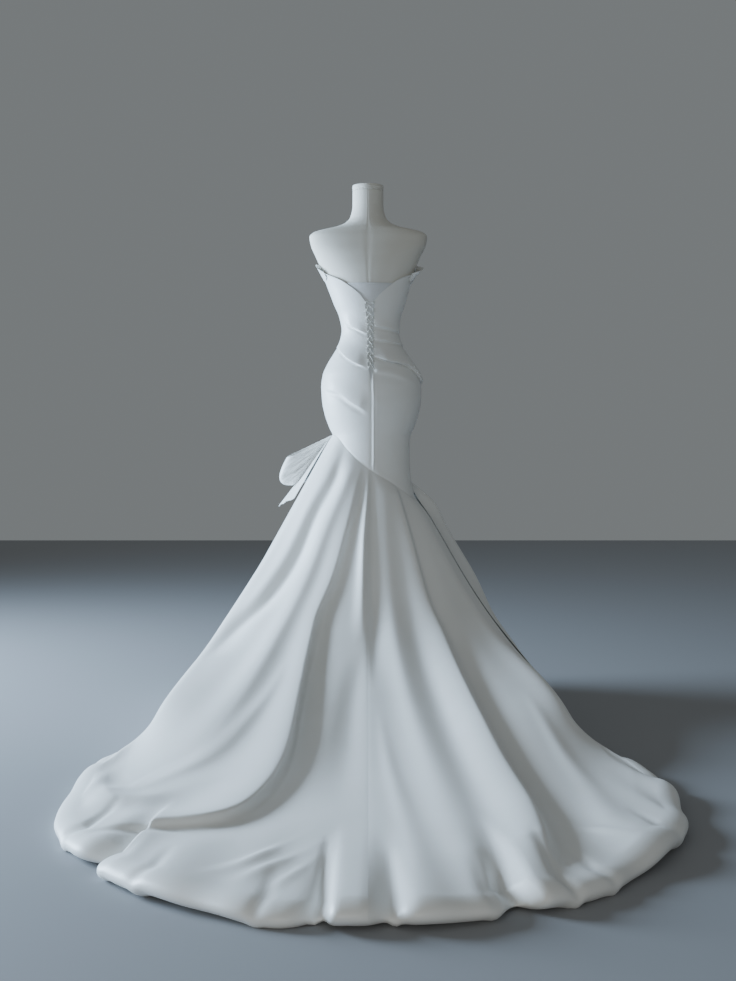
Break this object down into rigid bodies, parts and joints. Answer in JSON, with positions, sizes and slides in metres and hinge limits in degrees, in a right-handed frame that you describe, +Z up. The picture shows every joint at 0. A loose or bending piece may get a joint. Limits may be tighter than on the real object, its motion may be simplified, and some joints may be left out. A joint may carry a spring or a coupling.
{
  "type": "wedding dress on a limbless dress form",
  "caption": "Strapless mermaid wedding dress with a laced back, side bow and trailing satin train, worn by a plain limbless dress form that stands on a round base.",
  "frame": {"origin": "on the floor at the centre of the base plate's underside, under the form's neck", "axes": "+Z up; +Y towards the front of the dress, so the back faces -Y and the train trails towards -Y; +X to the wearer's right"},
  "size_m": [1.4028, 2.712, 1.6883],
  "materials": {
    "satin": "ivory white satin with a soft sheen",
    "form_fabric": "plain off-white linen",
    "stand_pole": "brushed steel",
    "stand_base": "satin grey paint"
  },
  "bodies": {
    "root": {"form_torso": "form_fabric", "form_neck_cap": "form_fabric", "form_pole": "stand_pole", "form_base": "stand_base", "bodice_back_left": "satin", "bodice_back_right": "satin", "bodice_front": "satin", "modesty_panel": "satin", "skirt_back_left": "satin", "skirt_back_right": "satin", "skirt_front": "satin", "side_drape": "satin", "neckline_left": "satin", "neckline_right": "satin", "bow_knot": "satin", "bow_loop_side": "satin", "bow_loop_front": "satin", "bow_tail_side": "satin", "bow_tail_front": "satin", "loops_left": "satin", "loops_right": "satin", "lace": "satin"}
  },
  "joints": []
}
